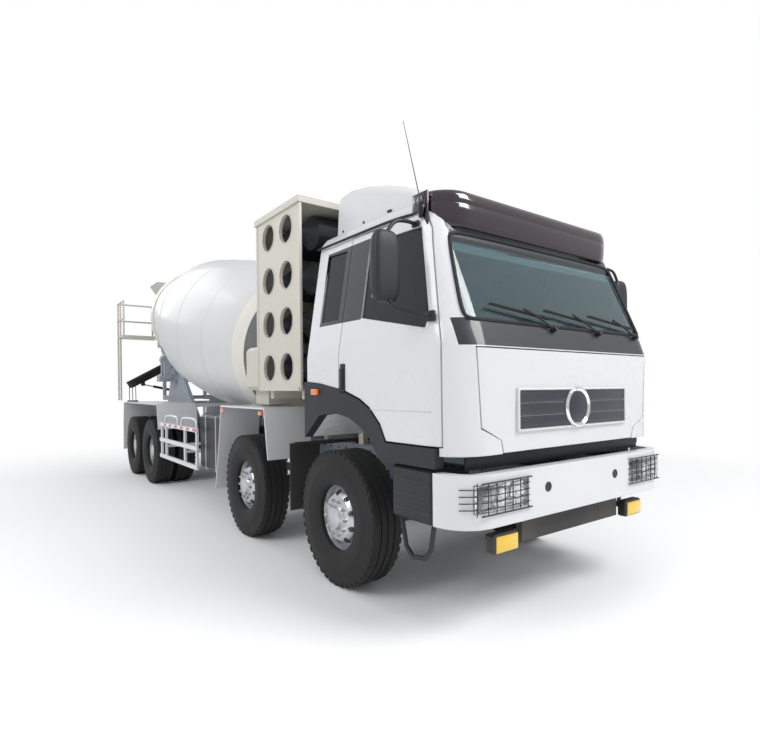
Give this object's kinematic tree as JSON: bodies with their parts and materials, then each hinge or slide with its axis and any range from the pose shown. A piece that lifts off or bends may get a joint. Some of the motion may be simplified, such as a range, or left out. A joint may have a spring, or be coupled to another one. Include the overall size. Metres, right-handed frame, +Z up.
{
  "type": "concrete mixer truck",
  "caption": "Multi-axle concrete mixer truck with a tilting cab, a gas-bottle rack behind it, a tilted drum, a loading hopper, a swinging discharge chute and a rear platform.",
  "frame": {"origin": "on the ground under the middle of the outline", "axes": "+Y to the rear, +X to the left side, +Z up; the truck faces -Y"},
  "size_m": [3.1, 10.6, 4.0139],
  "materials": {
    "white_paint": "gloss",
    "fairing_paint": "gloss",
    "drum_paint": "gloss",
    "frame_paint": "satin",
    "rack_paint": "satin",
    "dark_plastic": "satin",
    "visor_gloss": "gloss",
    "black_metal": "satin",
    "tyre": "matte",
    "cast_grey": "matte",
    "glass": "gloss",
    "fabric": "matte",
    "lamp_yellow": "gloss",
    "bottle_paint": "satin",
    "steel": "satin"
  },
  "bodies": {
    "chassis": {"chassis_frame": "frame_paint", "front_bumper": "white_paint", "fog_lamps": "lamp_yellow", "engine": "cast_grey", "step_right": "dark_plastic", "step_left": "dark_plastic", "front_flaps": "black_metal", "steer_axle_1": "cast_grey", "steer_axle_2": "cast_grey", "drive_axle_3": "cast_grey", "drive_axle_4": "cast_grey", "bogie_springs": "black_metal", "battery_box": "black_metal", "fuel_tank": "steel", "mudguards_2": "white_paint", "rear_mudguards": "white_paint", "side_guards": "white_paint", "gas_rack": "rack_paint", "gas_bottles": "bottle_paint", "front_pedestal": "frame_paint", "water_tank": "rack_paint", "rear_pedestal": "frame_paint", "feed_hopper": "rack_paint", "discharge_collector": "frame_paint", "platform_ladder": "rack_paint"},
    "cab": {"cab_shell": "white_paint", "windscreen": "glass", "quarter_glass_right": "glass", "quarter_glass_left": "glass", "cab_fender_right": "dark_plastic", "cab_fender_left": "dark_plastic", "sun_visor": "visor_gloss", "roof_fairing": "fairing_paint", "seats": "fabric", "dashboard": "dark_plastic"},
    "lid": {"front_lid": "white_paint"},
    "drum_body": {"drum": "drum_paint"},
    "chute_post_body": {"chute_post": "frame_paint"},
    "chute_body": {"chute": "black_metal"},
    "jack_barrel_body": {"jack_barrel": "black_metal"},
    "jack_rod_body": {"jack_rod": "steel"},
    "door_right_body": {"door_right": "white_paint", "door_glass_right": "glass", "mirror_right": "dark_plastic"},
    "knuckle_1_right_body": {"knuckle_1_right": "cast_grey"},
    "knuckle_2_right_body": {"knuckle_2_right": "cast_grey"},
    "wheel_1_right_body": {"wheel_1_right": "tyre"},
    "wheel_2_right_body": {"wheel_2_right": "tyre"},
    "wheel_3_right_body": {"wheel_3_right": "tyre"},
    "wheel_4_right_body": {"wheel_4_right": "tyre"},
    "door_left_body": {"door_left": "white_paint", "door_glass_left": "glass", "mirror_left": "dark_plastic"},
    "knuckle_1_left_body": {"knuckle_1_left": "cast_grey"},
    "knuckle_2_left_body": {"knuckle_2_left": "cast_grey"},
    "wheel_1_left_body": {"wheel_1_left": "tyre"},
    "wheel_2_left_body": {"wheel_2_left": "tyre"},
    "wheel_3_left_body": {"wheel_3_left": "tyre"},
    "wheel_4_left_body": {"wheel_4_left": "tyre"}
  },
  "joints": [
    {"name": "steer_1_left", "type": "hinge", "parent": "chassis", "child": "knuckle_1_left_body", "pos_m": [0.88, -3.75, 0.56], "axis": [0, 0, 1], "range_deg": [-35, 35]},
    {"name": "steer_1_right", "type": "hinge", "parent": "chassis", "child": "knuckle_1_right_body", "pos_m": [-0.88, -3.75, 0.56], "axis": [0, 0, 1], "range_deg": [-35, 35]},
    {"name": "steer_2_left", "type": "hinge", "parent": "chassis", "child": "knuckle_2_left_body", "pos_m": [0.88, -1.81, 0.56], "axis": [0, 0, 1], "range_deg": [-25, 25]},
    {"name": "steer_2_right", "type": "hinge", "parent": "chassis", "child": "knuckle_2_right_body", "pos_m": [-0.88, -1.81, 0.56], "axis": [0, 0, 1], "range_deg": [-25, 25]},
    {"name": "wheel_1_left_spin", "type": "hinge", "parent": "knuckle_1_left_body", "child": "wheel_1_left_body", "pos_m": [1.08, -3.75, 0.56], "axis": [1, 0, 0], "continuous": true},
    {"name": "wheel_1_right_spin", "type": "hinge", "parent": "knuckle_1_right_body", "child": "wheel_1_right_body", "pos_m": [-1.08, -3.75, 0.56], "axis": [1, 0, 0], "continuous": true},
    {"name": "wheel_2_left_spin", "type": "hinge", "parent": "knuckle_2_left_body", "child": "wheel_2_left_body", "pos_m": [1.08, -1.81, 0.56], "axis": [1, 0, 0], "continuous": true},
    {"name": "wheel_2_right_spin", "type": "hinge", "parent": "knuckle_2_right_body", "child": "wheel_2_right_body", "pos_m": [-1.08, -1.81, 0.56], "axis": [1, 0, 0], "continuous": true},
    {"name": "wheel_3_left_spin", "type": "hinge", "parent": "chassis", "child": "wheel_3_left_body", "pos_m": [1.08, 2.54, 0.56], "axis": [1, 0, 0], "continuous": true},
    {"name": "wheel_3_right_spin", "type": "hinge", "parent": "chassis", "child": "wheel_3_right_body", "pos_m": [-1.08, 2.54, 0.56], "axis": [1, 0, 0], "continuous": true},
    {"name": "wheel_4_left_spin", "type": "hinge", "parent": "chassis", "child": "wheel_4_left_body", "pos_m": [1.08, 3.89, 0.56], "axis": [1, 0, 0], "continuous": true},
    {"name": "wheel_4_right_spin", "type": "hinge", "parent": "chassis", "child": "wheel_4_right_body", "pos_m": [-1.08, 3.89, 0.56], "axis": [1, 0, 0], "continuous": true},
    {"name": "drum_spin", "type": "hinge", "parent": "chassis", "child": "drum_body", "pos_m": [0, -1.2, 2.12], "axis": [0, 0.9799, 0.1994], "continuous": true},
    {"name": "cab_tilt", "type": "hinge", "parent": "chassis", "child": "cab", "pos_m": [0, -5.17, 1.16], "axis": [1, 0, 0], "range_deg": [0, 50]},
    {"name": "front_lid_open", "type": "hinge", "parent": "cab", "child": "lid", "pos_m": [0, -5.228, 1.888], "axis": [-1, 0, 0], "range_deg": [0, 70]},
    {"name": "door_right_open", "type": "hinge", "parent": "cab", "child": "door_right_body", "pos_m": [-1.226, -5.05, 1.5], "axis": [0, 0, 1], "range_deg": [0, 70]},
    {"name": "door_left_open", "type": "hinge", "parent": "cab", "child": "door_left_body", "pos_m": [1.226, -5.05, 1.5], "axis": [0, 0, -1], "range_deg": [0, 70]},
    {"name": "chute_swing", "type": "hinge", "parent": "chassis", "child": "chute_post_body", "pos_m": [0, 5.03, 1.52], "axis": [0, 0, -1], "range_deg": [0, 150]},
    {"name": "chute_tilt", "type": "hinge", "parent": "chute_post_body", "child": "chute_body", "pos_m": [-0.14, 5.03, 2.12], "axis": [0, 1, 0], "range_deg": [-8, 28]},
    {"name": "jack_barrel_turn", "type": "hinge", "parent": "chute_post_body", "child": "jack_barrel_body", "pos_m": [-0.13, 5.03, 1.62], "axis": [0, 1, 0], "range_deg": [-8, 24]},
    {"name": "jack_rod_slide", "type": "slide", "parent": "jack_barrel_body", "child": "jack_rod_body", "axis": [-0.9776, 0, 0.2105], "range_m": [-0.075, 0.235]}
  ],
  "couplings": [
    {"joint": "steer_1_right", "follows": "steer_1_left", "ratio": 1},
    {"joint": "steer_2_left", "follows": "steer_1_left", "ratio": 0.7},
    {"joint": "steer_2_right", "follows": "steer_1_left", "ratio": 0.7},
    {"joint": "jack_barrel_turn", "follows": "chute_tilt", "ratio": 0.744},
    {"joint": "jack_rod_slide", "follows": "chute_tilt", "m_per_rad": 0.455}
  ]
}
